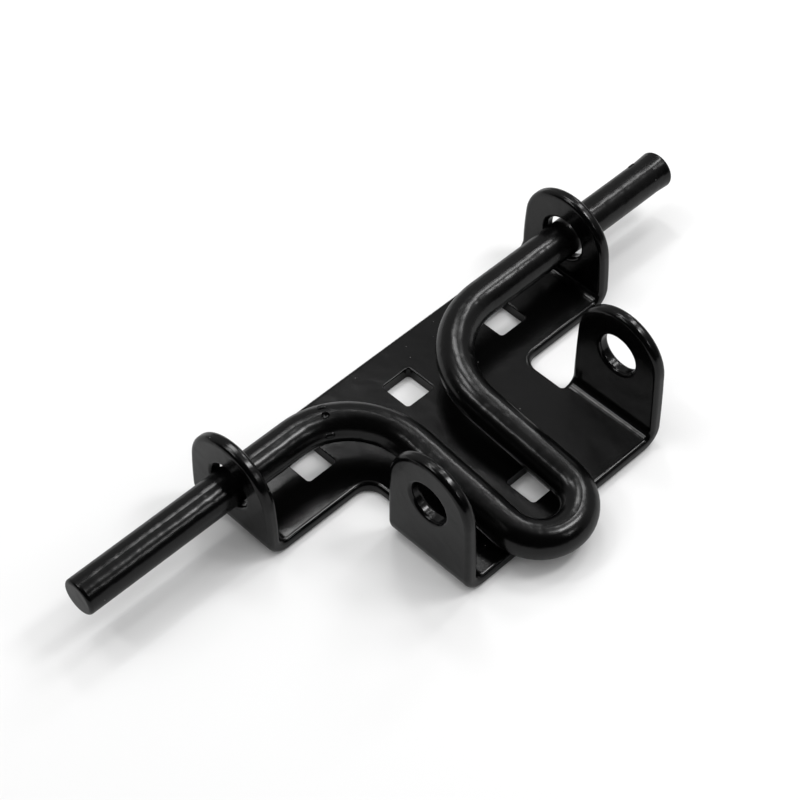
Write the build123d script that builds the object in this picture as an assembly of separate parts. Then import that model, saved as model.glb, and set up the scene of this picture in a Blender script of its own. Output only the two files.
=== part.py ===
from build123d import *
import math
import os

# Slide bolt gate latch: a folded sheet bracket that carries a bent round rod.
# Millimetres. X runs along the bolt, +Y points to the bracket's straight back edge and
# +Z away from the gate. The origin is on the mounting face, at the middle carriage-bolt hole.

# Sheet bracket, flat parts
sheet_thickness = 4.5
strip_width = 36.7
edge_rounding = 1.7
inner_corner_radius = 5.5
tab_reach = 52.0

# Carriage-bolt holes, square
bolt_hole_size = 12.0
bolt_hole_corner = 1.2
bolt_hole_pitch = 43.9
tab_hole_from_front = 14.75
bolt_hole_rounding = 0.5

# Upturned ears at the strip's ends, each with a round hole that guides the rod
bend_radius = 3.0
ear_span = 154.6
ear_hole_height = 21.1
ear_top_radius = 17.7
rod_hole_play = 3.2
round_hole_rounding = 1.3

# Upturned padlock lugs on the tab's two sides
lug_span = 88.6
lug_width = 34.9
lug_top_radius = 16.9
lug_hole_height = 30.5
lug_hole_diameter = 14.6
lug_root_radius = 1.0
lug_root_flat = 0.2

# Round rod, bent into a handle loop between its two straight ends
rod_diameter = 12.7
rod_end_rounding = 1.2
bolt_end_reach = 58.9
tail_end_reach = 44.6
left_leg_from_middle = 22.9
leg_spacing = 27.1
left_bend_radius = 27.0
right_bend_radius = 30.5
loop_depth = 80.2
rod_side_play = 0.6
running_gap = 0.3

# Marks that the bending and end dies leave on the rod: low nubs, a dimple and a flared tail
mark_turn_in_bend = 24.0
nub_radius = 1.1
nub_length = 3.4
nub_stand_out = 0.7
inner_nub_angle = 160.0
outer_nub_angle = 65.0
dimple_angle = 98.0
dimple_radius = 1.5
tail_nub_from_end = 9.5
tail_nub_angle = 41.0
tail_nub_stand_out = 0.35
tail_flare = 0.4
tail_flare_length = 7.0

# Sizes that follow from the ones above
rod_radius = rod_diameter / 2
half_strip = strip_width / 2
tab_front = -half_strip - tab_reach
ear_face = ear_span / 2
lug_face = lug_span / 2
lug_centre = tab_front + lug_width / 2
ear_hole_radius = rod_radius + rod_hole_play / 2
bend_height = sheet_thickness + bend_radius
ear_fold = ear_face - bend_height
lug_fold = lug_face - bend_height
neck_half = lug_fold - lug_root_radius - lug_root_flat

# The rod lies low in its holes, one running gap above their edge
rod_offset = ear_hole_radius - rod_radius - running_gap
rod_y = rod_side_play
rod_z = ear_hole_height - math.sqrt(rod_offset**2 - rod_side_play**2)

# The handle drops until its legs meet the tab's rounded front edge
edge_y = tab_front + edge_rounding
edge_z = sheet_thickness - edge_rounding
edge_across = rod_y - edge_y
edge_below = rod_z - edge_z
leg_clearance = rod_radius + edge_rounding + running_gap
handle_drop = math.degrees(
    math.atan2(edge_below, edge_across)
    - math.asin(leg_clearance / math.hypot(edge_across, edge_below))
)


def rounded_section(width):
    """The sheet cut across: a flat bar with rounded rims, centred on the origin."""
    return RectangleRounded(width, sheet_thickness, edge_rounding)


def flat_sheet():
    """Strip and tab in one plane, rims rounded except where a fold carries on."""
    tab_length = tab_reach + half_strip
    outline = Rectangle(2 * ear_fold, strip_width)
    outline += Pos(0, tab_front + tab_length / 2) * Rectangle(2 * neck_half, tab_length)
    outline += Pos(0, lug_centre) * Rectangle(2 * lug_fold, lug_width)
    inside = outline.vertices().filter_by(lambda point: abs(abs(point.X) - neck_half) < 0.01)
    at_strip = inside.filter_by(lambda point: abs(point.Y + half_strip) < 0.01)
    outline = fillet(at_strip, inner_corner_radius)
    lug_back = lug_centre + lug_width / 2
    inside = outline.vertices().filter_by(lambda point: abs(abs(point.X) - neck_half) < 0.01)
    at_lug = inside.filter_by(lambda point: abs(point.Y - lug_back) < 0.01)
    outline = fillet(at_lug, lug_root_radius)
    sheet = extrude(outline, amount=sheet_thickness)
    rims = ShapeList()
    for edge in sheet.edges():
        middle = edge @ 0.5
        level = abs((edge % 0.5).Z) < 0.01
        on_fold = abs(abs(middle.X) - ear_fold) < 0.01 or abs(abs(middle.X) - lug_fold) < 0.01
        if level and not on_fold:
            rims.append(edge)
    return fillet(rims, edge_rounding)


def upturned_end(centre, width, hole_height, top_radius, hole_radius):
    """A fold that starts at X = 0 and the tombstone that stands on it."""
    # Fold: the sheet's section turned a quarter about a line along Y
    section = Plane.YZ * Pos(centre, sheet_thickness / 2) * rounded_section(width)
    fold = revolve(section, Axis((0, 0, bend_height), (0, -1, 0)), 90)

    # Tombstone: sides that leave the fold upright and lean in to a round top
    half_width = width / 2
    hole_above_fold = hole_height - bend_height
    lean = 2 * math.atan2(half_width - top_radius, hole_above_fold)
    shoulder_y = top_radius * math.cos(lean)
    shoulder_z = hole_above_fold + top_radius * math.sin(lean)
    foot = Line((-half_width, 0), (half_width, 0))
    side = TangentArc((half_width, 0), (shoulder_y, shoulder_z), tangent=(0, 1))
    top = (0, hole_above_fold + top_radius)
    crown = ThreePointArc((shoulder_y, shoulder_z), top, (-shoulder_y, shoulder_z))
    outline = make_face([foot, side, crown, mirror(side, Plane.YZ)])
    outline = Pos(centre, bend_height) * outline
    stone = extrude(Plane.YZ.offset(bend_radius) * outline, amount=sheet_thickness)
    rims = ShapeList()
    for edge in stone.edges():
        across = abs((edge % 0.5).X) > 0.9
        if not across and (edge @ 0.5).Z > bend_height + 0.01:
            rims.append(edge)
    stone = fillet(rims, edge_rounding)
    hole = Plane.YZ * Pos(centre, hole_height) * Circle(hole_radius)
    stone -= extrude(hole, amount=2 * bend_height)
    round_rims = stone.edges().filter_by(GeomType.CIRCLE).filter_by(
        lambda edge: abs(edge.radius - hole_radius) < 0.001 and edge.is_closed
    )
    stone = fillet(round_rims, round_hole_rounding)
    return fold + stone


def make_bracket():
    body = flat_sheet()

    # Ears at both ends of the strip
    ear = upturned_end(0, strip_width, ear_hole_height, ear_top_radius, ear_hole_radius)
    ear = Pos(ear_fold, 0, 0) * ear
    body += ear
    body += mirror(ear, Plane.YZ)

    # Padlock lugs at both sides of the tab
    lug_hole_radius = lug_hole_diameter / 2
    lug = upturned_end(lug_centre, lug_width, lug_hole_height, lug_top_radius, lug_hole_radius)
    lug = Pos(lug_fold, 0, 0) * lug
    body += lug
    body += mirror(lug, Plane.YZ)

    # Square holes for carriage bolts
    square = RectangleRounded(bolt_hole_size, bolt_hole_size, bolt_hole_corner)
    cutter = Pos(0, 0, -1) * extrude(square, amount=sheet_thickness + 2)
    for hole_x in (-bolt_hole_pitch, 0, bolt_hole_pitch):
        body -= Pos(hole_x, 0, 0) * cutter
    body -= Pos(0, tab_front + tab_hole_from_front, 0) * cutter
    hole_rims = ShapeList()
    for edge in body.edges():
        middle = edge @ 0.5
        level = min(abs(middle.Z), abs(middle.Z - sheet_thickness)) < 0.001
        near_row = abs(middle.Y) < 0.6 * bolt_hole_size
        at_tab = abs(middle.Y - tab_front - tab_hole_from_front) < 0.6 * bolt_hole_size
        near_row = near_row and min(abs(middle.X), abs(abs(middle.X) - bolt_hole_pitch)) < 7
        if level and (near_row or (at_tab and abs(middle.X) < 7)):
            hole_rims.append(edge)
    return fillet(hole_rims, bolt_hole_rounding)


def make_nub(stand_out):
    """A low rounded lump along X, sunk in the +Y side of a rod that runs along X."""
    nub = Rot(0, 90, 0) * Cylinder(nub_radius, nub_length)
    nub = fillet(nub.edges().filter_by(GeomType.CIRCLE), nub_radius * 0.9)
    return Pos(0, rod_radius + stand_out - nub_radius, 0) * nub


def make_rod():
    # Centreline in the plane of the loop: X along the bolt, Y outwards is negative
    left_leg = -left_leg_from_middle
    right_leg = left_leg + leg_spacing
    turn_radius = leg_spacing / 2
    leg_end = -(loop_depth - turn_radius)
    bolt_tip = -ear_face - bolt_end_reach
    tail_tip = ear_face + tail_end_reach
    left_start = left_leg - left_bend_radius
    right_start = right_leg + right_bend_radius
    with BuildLine() as centreline:
        Line((bolt_tip, 0), (left_start, 0))
        CenterArc((left_start, -left_bend_radius), left_bend_radius, 90, -90)
        Line((left_leg, -left_bend_radius), (left_leg, leg_end))
        CenterArc((left_leg + turn_radius, leg_end), turn_radius, 180, 180)
        Line((right_leg, leg_end), (right_leg, -right_bend_radius))
        CenterArc((right_start, -right_bend_radius), right_bend_radius, 180, -90)
        Line((right_start, 0), (tail_tip, 0))
    path = centreline.wire()
    section = Plane(origin=path @ 0, z_dir=path % 0) * Circle(rod_radius)
    rod = sweep(section, path)

    # The tail's last stretch flares a little
    flare_foot = rod_radius - 0.05
    flare = Cone(flare_foot, rod_radius + tail_flare, tail_flare_length)
    rod += Pos(tail_tip - tail_flare_length / 2, 0, 0) * Rot(0, 90, 0) * flare
    ends = rod.edges().filter_by(GeomType.CIRCLE).sort_by(Axis.X)
    rod = fillet([ends[0], ends[-1]], rod_end_rounding)

    # Each mark sits at its own angle round the rod, counted from the bend's outer side
    turn = math.radians(mark_turn_in_bend)
    bend_x = left_start + left_bend_radius * math.sin(turn)
    bend_y = left_bend_radius * (math.cos(turn) - 1)
    in_bend = Pos(bend_x, bend_y, 0) * Rot(0, 0, -mark_turn_in_bend)
    rod += in_bend * Rot(inner_nub_angle, 0, 0) * make_nub(nub_stand_out)
    rod += in_bend * Rot(outer_nub_angle, 0, 0) * make_nub(nub_stand_out)
    dimple = Pos(0, rod_radius + dimple_radius * 0.4, 0) * Sphere(dimple_radius)
    rod -= in_bend * Rot(dimple_angle, 0, 0) * dimple
    tail_nub = Rot(tail_nub_angle, 0, 0) * make_nub(tail_nub_stand_out)
    rod += Pos(tail_tip - tail_nub_from_end, 0, 0) * tail_nub
    return Pos(0, rod_y, rod_z) * Rot(handle_drop, 0, 0) * rod


os.makedirs("parts", exist_ok=True)
bracket = make_bracket()
rod = make_rod()
export_step(bracket, "parts/latch_bracket.step")
export_step(rod, "parts/slide_rod.step")
print("rod axis", round(rod_y, 3), round(rod_z, 3), "handle drop", round(handle_drop, 3))
print("bracket", bracket.bounding_box(), bracket.volume)
print("rod", rod.bounding_box(), rod.volume)
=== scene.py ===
import bpy, math
from mathutils import Matrix, Vector

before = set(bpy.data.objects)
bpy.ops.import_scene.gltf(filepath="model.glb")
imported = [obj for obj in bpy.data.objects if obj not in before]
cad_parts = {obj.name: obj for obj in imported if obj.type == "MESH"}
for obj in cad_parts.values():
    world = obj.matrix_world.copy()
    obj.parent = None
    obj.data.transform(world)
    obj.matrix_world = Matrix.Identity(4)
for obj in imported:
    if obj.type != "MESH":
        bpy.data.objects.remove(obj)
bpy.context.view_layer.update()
mm = 0.001
print("frame loaded:", sorted(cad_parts))


# Camera: stands where the photo was taken from
cameraSettings = {
    "azimuth": -44.26,      # degrees from the front, towards the bolt's long end
    "elevation": 49.42,
    "roll": -0.47,
    "distance": 735.3 * mm,
    "target": (-9.1 * mm, -5.5 * mm, 10.0 * mm),
    "focalPixels": 2290.8,  # in an image 800 pixels wide
    "imageWidth": 800,
    "sensorWidth": 36.0,
    "nearest": 0.01,
    "farthest": 20.0,
}


def placeCamera(s):
    az = math.radians(s["azimuth"])
    el = math.radians(s["elevation"])
    roll = math.radians(s["roll"])
    back = Vector((math.sin(az) * math.cos(el), -math.cos(az) * math.cos(el), math.sin(el)))
    right = Vector((0, 0, 1)).cross(back).normalized()
    up = back.cross(right)
    rolledRight = right * math.cos(roll) + up * math.sin(roll)
    rolledUp = up * math.cos(roll) - right * math.sin(roll)
    data = bpy.data.cameras.new("photoCamera")
    data.sensor_width = s["sensorWidth"]
    data.lens = s["focalPixels"] / s["imageWidth"] * data.sensor_width
    data.clip_start = s["nearest"]
    data.clip_end = s["farthest"]
    camera = bpy.data.objects.new("photoCamera", data)
    bpy.context.scene.collection.objects.link(camera)
    place = Matrix((rolledRight, rolledUp, back)).transposed().to_4x4()
    place.translation = Vector(s["target"]) + back * s["distance"]
    camera.matrix_world = place
    bpy.context.scene.camera = camera
    return camera


camera = placeCamera(cameraSettings)
print("camera placed, lens", round(camera.data.lens, 1), "mm")


# Powder coat: gloss black, with orange peel, slow waves and a little dust
coatSettings = {
    "colour": (0.0015, 0.0015, 0.0016, 1.0),
    "speckColour": (0.16, 0.16, 0.155, 1.0),
    "roughness": 0.19,
    "roughnessSpread": 0.05,
    "gloss": 0.5,
    "ior": 1.46,
    "peelScale": 900.0,     # cells per metre
    "peelDepth": 0.000012,  # metres, as the waves' depth is
    "wavesScale": 130.0,
    "wavesDepth": 0.00013,
    "speckScale": 420.0,
    "speckAmount": 0.045,   # share of the cells that hold a speck
}

# The rod has shorter, deeper waves than the flat sheet
rodCoatSettings = dict(coatSettings, wavesScale=180.0, wavesDepth=0.00017, roughness=0.22)

# What the coat's patterns share on both pieces
patternSettings = {
    "peelDetail": 2.0,
    "peelRoughness": 0.45,
    "wavesDetail": 1.0,
    "wavesDistortion": 0.4,
    "speckEdge": 0.10,      # how far from its cell's middle a speck starts
    "speckCore": 0.03,      # and how far it is full
    "speckRoughness": 0.5,
    "hazeScale": 45.0,
    "hazeDetail": 3.0,
}

# Inputs of the coat's group, each with the setting that feeds it
coatInputs = {
    "Colour": "colour",
    "Speck Colour": "speckColour",
    "Peel Scale": "peelScale",
    "Peel Depth": "peelDepth",
    "Waves Scale": "wavesScale",
    "Waves Depth": "wavesDepth",
    "Speck Scale": "speckScale",
    "Speck Amount": "speckAmount",
    "Roughness": "roughness",
    "Roughness Spread": "roughnessSpread",
}


def addNode(tree, kind, x, y, **values):
    node = tree.nodes.new(kind)
    node.location = (x, y)
    for name, value in values.items():
        setattr(node, name, value)
    return node


def makeCoatGroup(s, p):
    group = bpy.data.node_groups.new("powderCoatSurface", "ShaderNodeTree")
    addSocket = group.interface.new_socket
    addSocket(name="Place", in_out="INPUT", socket_type="NodeSocketVector")
    for name, key in coatInputs.items():
        kind = "NodeSocketColor" if name.endswith("Colour") else "NodeSocketFloat"
        socket = addSocket(name=name, in_out="INPUT", socket_type=kind)
        socket.default_value = s[key]
    addSocket(name="Coat Colour", in_out="OUTPUT", socket_type="NodeSocketColor")
    addSocket(name="Coat Roughness", in_out="OUTPUT", socket_type="NodeSocketFloat")
    addSocket(name="Coat Height", in_out="OUTPUT", socket_type="NodeSocketFloat")
    link = group.links.new
    ins = addNode(group, "NodeGroupInput", -900, 0)
    outs = addNode(group, "NodeGroupOutput", 900, 0)

    # Orange peel: the small even ripple that powder leaves as it flows out
    peel = addNode(group, "ShaderNodeTexNoise", -500, -300)
    peel.inputs["Detail"].default_value = p["peelDetail"]
    peel.inputs["Roughness"].default_value = p["peelRoughness"]
    link(ins.outputs["Place"], peel.inputs["Vector"])
    link(ins.outputs["Peel Scale"], peel.inputs["Scale"])
    peelHeight = addNode(group, "ShaderNodeMath", -250, -300, operation="MULTIPLY")
    link(peel.outputs["Fac"], peelHeight.inputs[0])
    link(ins.outputs["Peel Depth"], peelHeight.inputs[1])

    # Slow waves of the coat and of the bent steel below it
    waves = addNode(group, "ShaderNodeTexNoise", -500, -600)
    waves.inputs["Detail"].default_value = p["wavesDetail"]
    waves.inputs["Distortion"].default_value = p["wavesDistortion"]
    link(ins.outputs["Place"], waves.inputs["Vector"])
    link(ins.outputs["Waves Scale"], waves.inputs["Scale"])
    wavesHeight = addNode(group, "ShaderNodeMath", -250, -600, operation="MULTIPLY")
    link(waves.outputs["Fac"], wavesHeight.inputs[0])
    link(ins.outputs["Waves Depth"], wavesHeight.inputs[1])
    height = addNode(group, "ShaderNodeMath", 0, -450, operation="ADD")
    link(peelHeight.outputs[0], height.inputs[0])
    link(wavesHeight.outputs[0], height.inputs[1])
    link(height.outputs[0], outs.inputs["Coat Height"])

    # Dust: a few pale specks, one to a cell at most
    cells = addNode(group, "ShaderNodeTexVoronoi", -500, 400, feature="F1")
    link(ins.outputs["Place"], cells.inputs["Vector"])
    link(ins.outputs["Speck Scale"], cells.inputs["Scale"])
    tone = addNode(group, "ShaderNodeSeparateColor", -370, 560)
    link(cells.outputs["Color"], tone.inputs["Color"])
    chosen = addNode(group, "ShaderNodeMath", -250, 500, operation="LESS_THAN")
    link(tone.outputs[0], chosen.inputs[0])
    link(ins.outputs["Speck Amount"], chosen.inputs[1])
    near = addNode(group, "ShaderNodeMapRange", -250, 300, interpolation_type="SMOOTHSTEP")
    near.inputs["From Min"].default_value = p["speckEdge"]
    near.inputs["From Max"].default_value = p["speckCore"]
    link(cells.outputs["Distance"], near.inputs["Value"])
    speck = addNode(group, "ShaderNodeMath", 0, 400, operation="MULTIPLY")
    link(chosen.outputs[0], speck.inputs[0])
    link(near.outputs["Result"], speck.inputs[1])
    colour = addNode(group, "ShaderNodeMix", 300, 300, data_type="RGBA")
    link(speck.outputs[0], colour.inputs["Factor"])
    link(ins.outputs["Colour"], colour.inputs["A"])
    link(ins.outputs["Speck Colour"], colour.inputs["B"])
    link(colour.outputs["Result"], outs.inputs["Coat Colour"])

    # Haze: gloss that varies a little from place to place, and is dull on the specks
    haze = addNode(group, "ShaderNodeTexNoise", -500, 0)
    haze.inputs["Scale"].default_value = p["hazeScale"]
    haze.inputs["Detail"].default_value = p["hazeDetail"]
    link(ins.outputs["Place"], haze.inputs["Vector"])
    centred = addNode(group, "ShaderNodeMath", -250, 0, operation="SUBTRACT")
    centred.inputs[1].default_value = 0.5   # the noise's own middle
    link(haze.outputs["Fac"], centred.inputs[0])
    spread = addNode(group, "ShaderNodeMath", -80, 0, operation="MULTIPLY")
    link(centred.outputs[0], spread.inputs[0])
    link(ins.outputs["Roughness Spread"], spread.inputs[1])
    rough = addNode(group, "ShaderNodeMath", 100, 0, operation="ADD")
    link(spread.outputs[0], rough.inputs[0])
    link(ins.outputs["Roughness"], rough.inputs[1])
    dusty = addNode(group, "ShaderNodeMath", 300, 0, operation="MULTIPLY_ADD")
    dusty.inputs[1].default_value = p["speckRoughness"]
    link(speck.outputs[0], dusty.inputs[0])
    link(rough.outputs[0], dusty.inputs[2])
    link(dusty.outputs[0], outs.inputs["Coat Roughness"])
    return group


def makeCoat(name, group, s):
    material = bpy.data.materials.new(name)
    material.use_nodes = True
    tree = material.node_tree
    shader = tree.nodes["Principled BSDF"]
    place = addNode(tree, "ShaderNodeTexCoord", -900, 0)
    surface = addNode(tree, "ShaderNodeGroup", -600, 0, node_tree=group)
    for socketName, key in coatInputs.items():
        surface.inputs[socketName].default_value = s[key]
    bump = addNode(tree, "ShaderNodeBump", -300, -300)
    bump.inputs["Strength"].default_value = 1.0
    bump.inputs["Distance"].default_value = 1.0     # heights are in metres already
    tree.links.new(place.outputs["Object"], surface.inputs["Place"])
    tree.links.new(surface.outputs["Coat Height"], bump.inputs["Height"])
    tree.links.new(surface.outputs["Coat Colour"], shader.inputs["Base Color"])
    tree.links.new(surface.outputs["Coat Roughness"], shader.inputs["Roughness"])
    tree.links.new(bump.outputs["Normal"], shader.inputs["Normal"])
    shader.inputs["IOR"].default_value = s["ior"]
    shader.inputs["Specular IOR Level"].default_value = s["gloss"]
    return material


coatGroup = makeCoatGroup(coatSettings, patternSettings)
bracketCoat = makeCoat("bracketGlossCoat", coatGroup, coatSettings)
rodCoat = makeCoat("rodGlossCoat", coatGroup, rodCoatSettings)
for nodeName, coat in (("latch_bracket", bracketCoat), ("slide_rod", rodCoat)):
    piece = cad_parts[nodeName]
    piece.data.materials.clear()
    piece.data.materials.append(coat)
print("powder coat on both pieces")


# White table, the room round it and the lamps over it
studioSettings = {
    "floorSize": 6.0,
    "tableColour": (0.40, 0.40, 0.40, 1.0),         # what the latch's gloss mirrors
    "tableSeenColour": (0.80, 0.80, 0.80, 1.0),     # what the camera sees, which comes out white
    "tableRoughness": 0.8,
    "roomBehind": 0.26,         # the room beyond the latch
    "roomInFront": 0.002,       # the dark side, where the camera stands
    "roomTurn": -38.0,          # degrees
    "roomEdge": (-0.25, 0.35),  # where the dark side ends and the full tone begins
    "ceilingFill": 1.5,         # what the white ceiling throws on the table
    "ceilingFocus": 2.0,        # higher throws more of it from overhead
    "lampHeight": 0.7,
    "lampCentre": (-0.010, -0.020),
    "lampGain": 3.2,
    "lampSize": 0.74,
}

# Lamp panels in one level plane: middle and width as shares of the lamps' height, and brightness
lampPanels = {
    "frontRightPanel": {"middle": (0.48, -0.37), "width": (0.55, 0.24), "bright": 5.0},
    "rightPanel": {"middle": (0.68, 0.03), "width": (0.60, 0.16), "bright": 3.4},
    "backRightPanel": {"middle": (0.34, 0.48), "width": (0.20, 0.46), "bright": 3.2},
    "backPanel": {"middle": (-0.17, 0.44), "width": (0.36, 0.12), "bright": 5.0},
    "backLeftPanel": {"middle": (-0.68, 0.50), "width": (0.22, 0.70), "bright": 2.6},
    "farRightPanel": {"middle": (1.25, 0.42), "width": (0.80, 0.18), "bright": 2.6},
    "frontPanel": {"middle": (0.47, -1.22), "width": (0.14, 0.50), "bright": 3.6},
}


def makeFloor(s):
    half = s["floorSize"] / 2
    mesh = bpy.data.meshes.new("whiteTable")
    corners = [(-half, -half, 0), (half, -half, 0), (half, half, 0), (-half, half, 0)]
    mesh.from_pydata(corners, [], [(0, 1, 2, 3)])
    floor = bpy.data.objects.new("whiteTable", mesh)
    bpy.context.scene.collection.objects.link(floor)
    material = bpy.data.materials.new("whiteTableTop")
    material.use_nodes = True
    tree = material.node_tree
    shader = tree.nodes["Principled BSDF"]
    shader.inputs["Roughness"].default_value = s["tableRoughness"]
    shader.inputs["Specular IOR Level"].default_value = 0.0
    path = addNode(tree, "ShaderNodeLightPath", -600, 300)
    seen = addNode(tree, "ShaderNodeMix", -300, 300, data_type="RGBA")
    seen.inputs["A"].default_value = s["tableColour"]
    seen.inputs["B"].default_value = s["tableSeenColour"]
    tree.links.new(path.outputs["Is Camera Ray"], seen.inputs["Factor"])
    tree.links.new(seen.outputs["Result"], shader.inputs["Base Color"])
    mesh.materials.append(material)


def makeWorld(s):
    world = bpy.data.worlds.new("studioRoom")
    bpy.context.scene.world = world
    world.use_nodes = True
    tree = world.node_tree
    background = tree.nodes["Background"]
    background.inputs["Color"].default_value = (1, 1, 1, 1)
    place = addNode(tree, "ShaderNodeTexCoord", -900, 0)
    turn = addNode(tree, "ShaderNodeMapping", -700, 0)
    turn.inputs["Rotation"].default_value = (0, 0, math.radians(s["roomTurn"]))
    tree.links.new(place.outputs["Generated"], turn.inputs["Vector"])
    split = addNode(tree, "ShaderNodeSeparateXYZ", -500, 0)
    tree.links.new(turn.outputs["Vector"], split.inputs["Vector"])

    # What the gloss mirrors: a room that is dark in front and lighter behind
    ramp = addNode(tree, "ShaderNodeMapRange", -300, 0, interpolation_type="SMOOTHSTEP")
    ramp.inputs["From Min"].default_value = s["roomEdge"][0]
    ramp.inputs["From Max"].default_value = s["roomEdge"][1]
    ramp.inputs["To Min"].default_value = s["roomInFront"]
    ramp.inputs["To Max"].default_value = s["roomBehind"]
    tree.links.new(split.outputs["X"], ramp.inputs["Value"])

    # What lights the table: the ceiling, brightest overhead
    above = addNode(tree, "ShaderNodeMath", -500, 200, operation="MAXIMUM")
    above.inputs[1].default_value = 0.0
    tree.links.new(split.outputs["Z"], above.inputs[0])
    ceiling = addNode(tree, "ShaderNodeMath", -300, 300, operation="POWER")
    ceiling.inputs[1].default_value = s["ceilingFocus"]
    tree.links.new(above.outputs[0], ceiling.inputs[0])
    fill = addNode(tree, "ShaderNodeMath", -150, 300, operation="MULTIPLY")
    fill.inputs[1].default_value = s["ceilingFill"]
    tree.links.new(ceiling.outputs[0], fill.inputs[0])

    path = addNode(tree, "ShaderNodeLightPath", -500, 400)
    room = addNode(tree, "ShaderNodeMix", 0, 200, data_type="FLOAT")
    tree.links.new(path.outputs["Is Diffuse Ray"], room.inputs["Factor"])
    tree.links.new(ramp.outputs["Result"], room.inputs["A"])
    tree.links.new(fill.outputs[0], room.inputs["B"])
    tree.links.new(room.outputs["Result"], background.inputs["Strength"])


def addLampPanel(name, panel, s):
    height = s["lampHeight"]
    data = bpy.data.lights.new(name, "AREA")
    data.shape = "RECTANGLE"
    data.size = panel["width"][0] * s["lampSize"] * height
    data.size_y = panel["width"][1] * s["lampSize"] * height
    data.energy = panel["bright"] * s["lampGain"] * math.pi * data.size * data.size_y
    lamp = bpy.data.objects.new(name, data)
    bpy.context.scene.collection.objects.link(lamp)
    lamp.location = (
        s["lampCentre"][0] + panel["middle"][0] * height,
        s["lampCentre"][1] + panel["middle"][1] * height,
        height,
    )


makeFloor(studioSettings)
makeWorld(studioSettings)
for lampName, panel in lampPanels.items():
    addLampPanel(lampName, panel, studioSettings)
print("table, room and", len(lampPanels), "lamp panels made")

bpy.context.scene.view_settings.view_transform = "Standard"
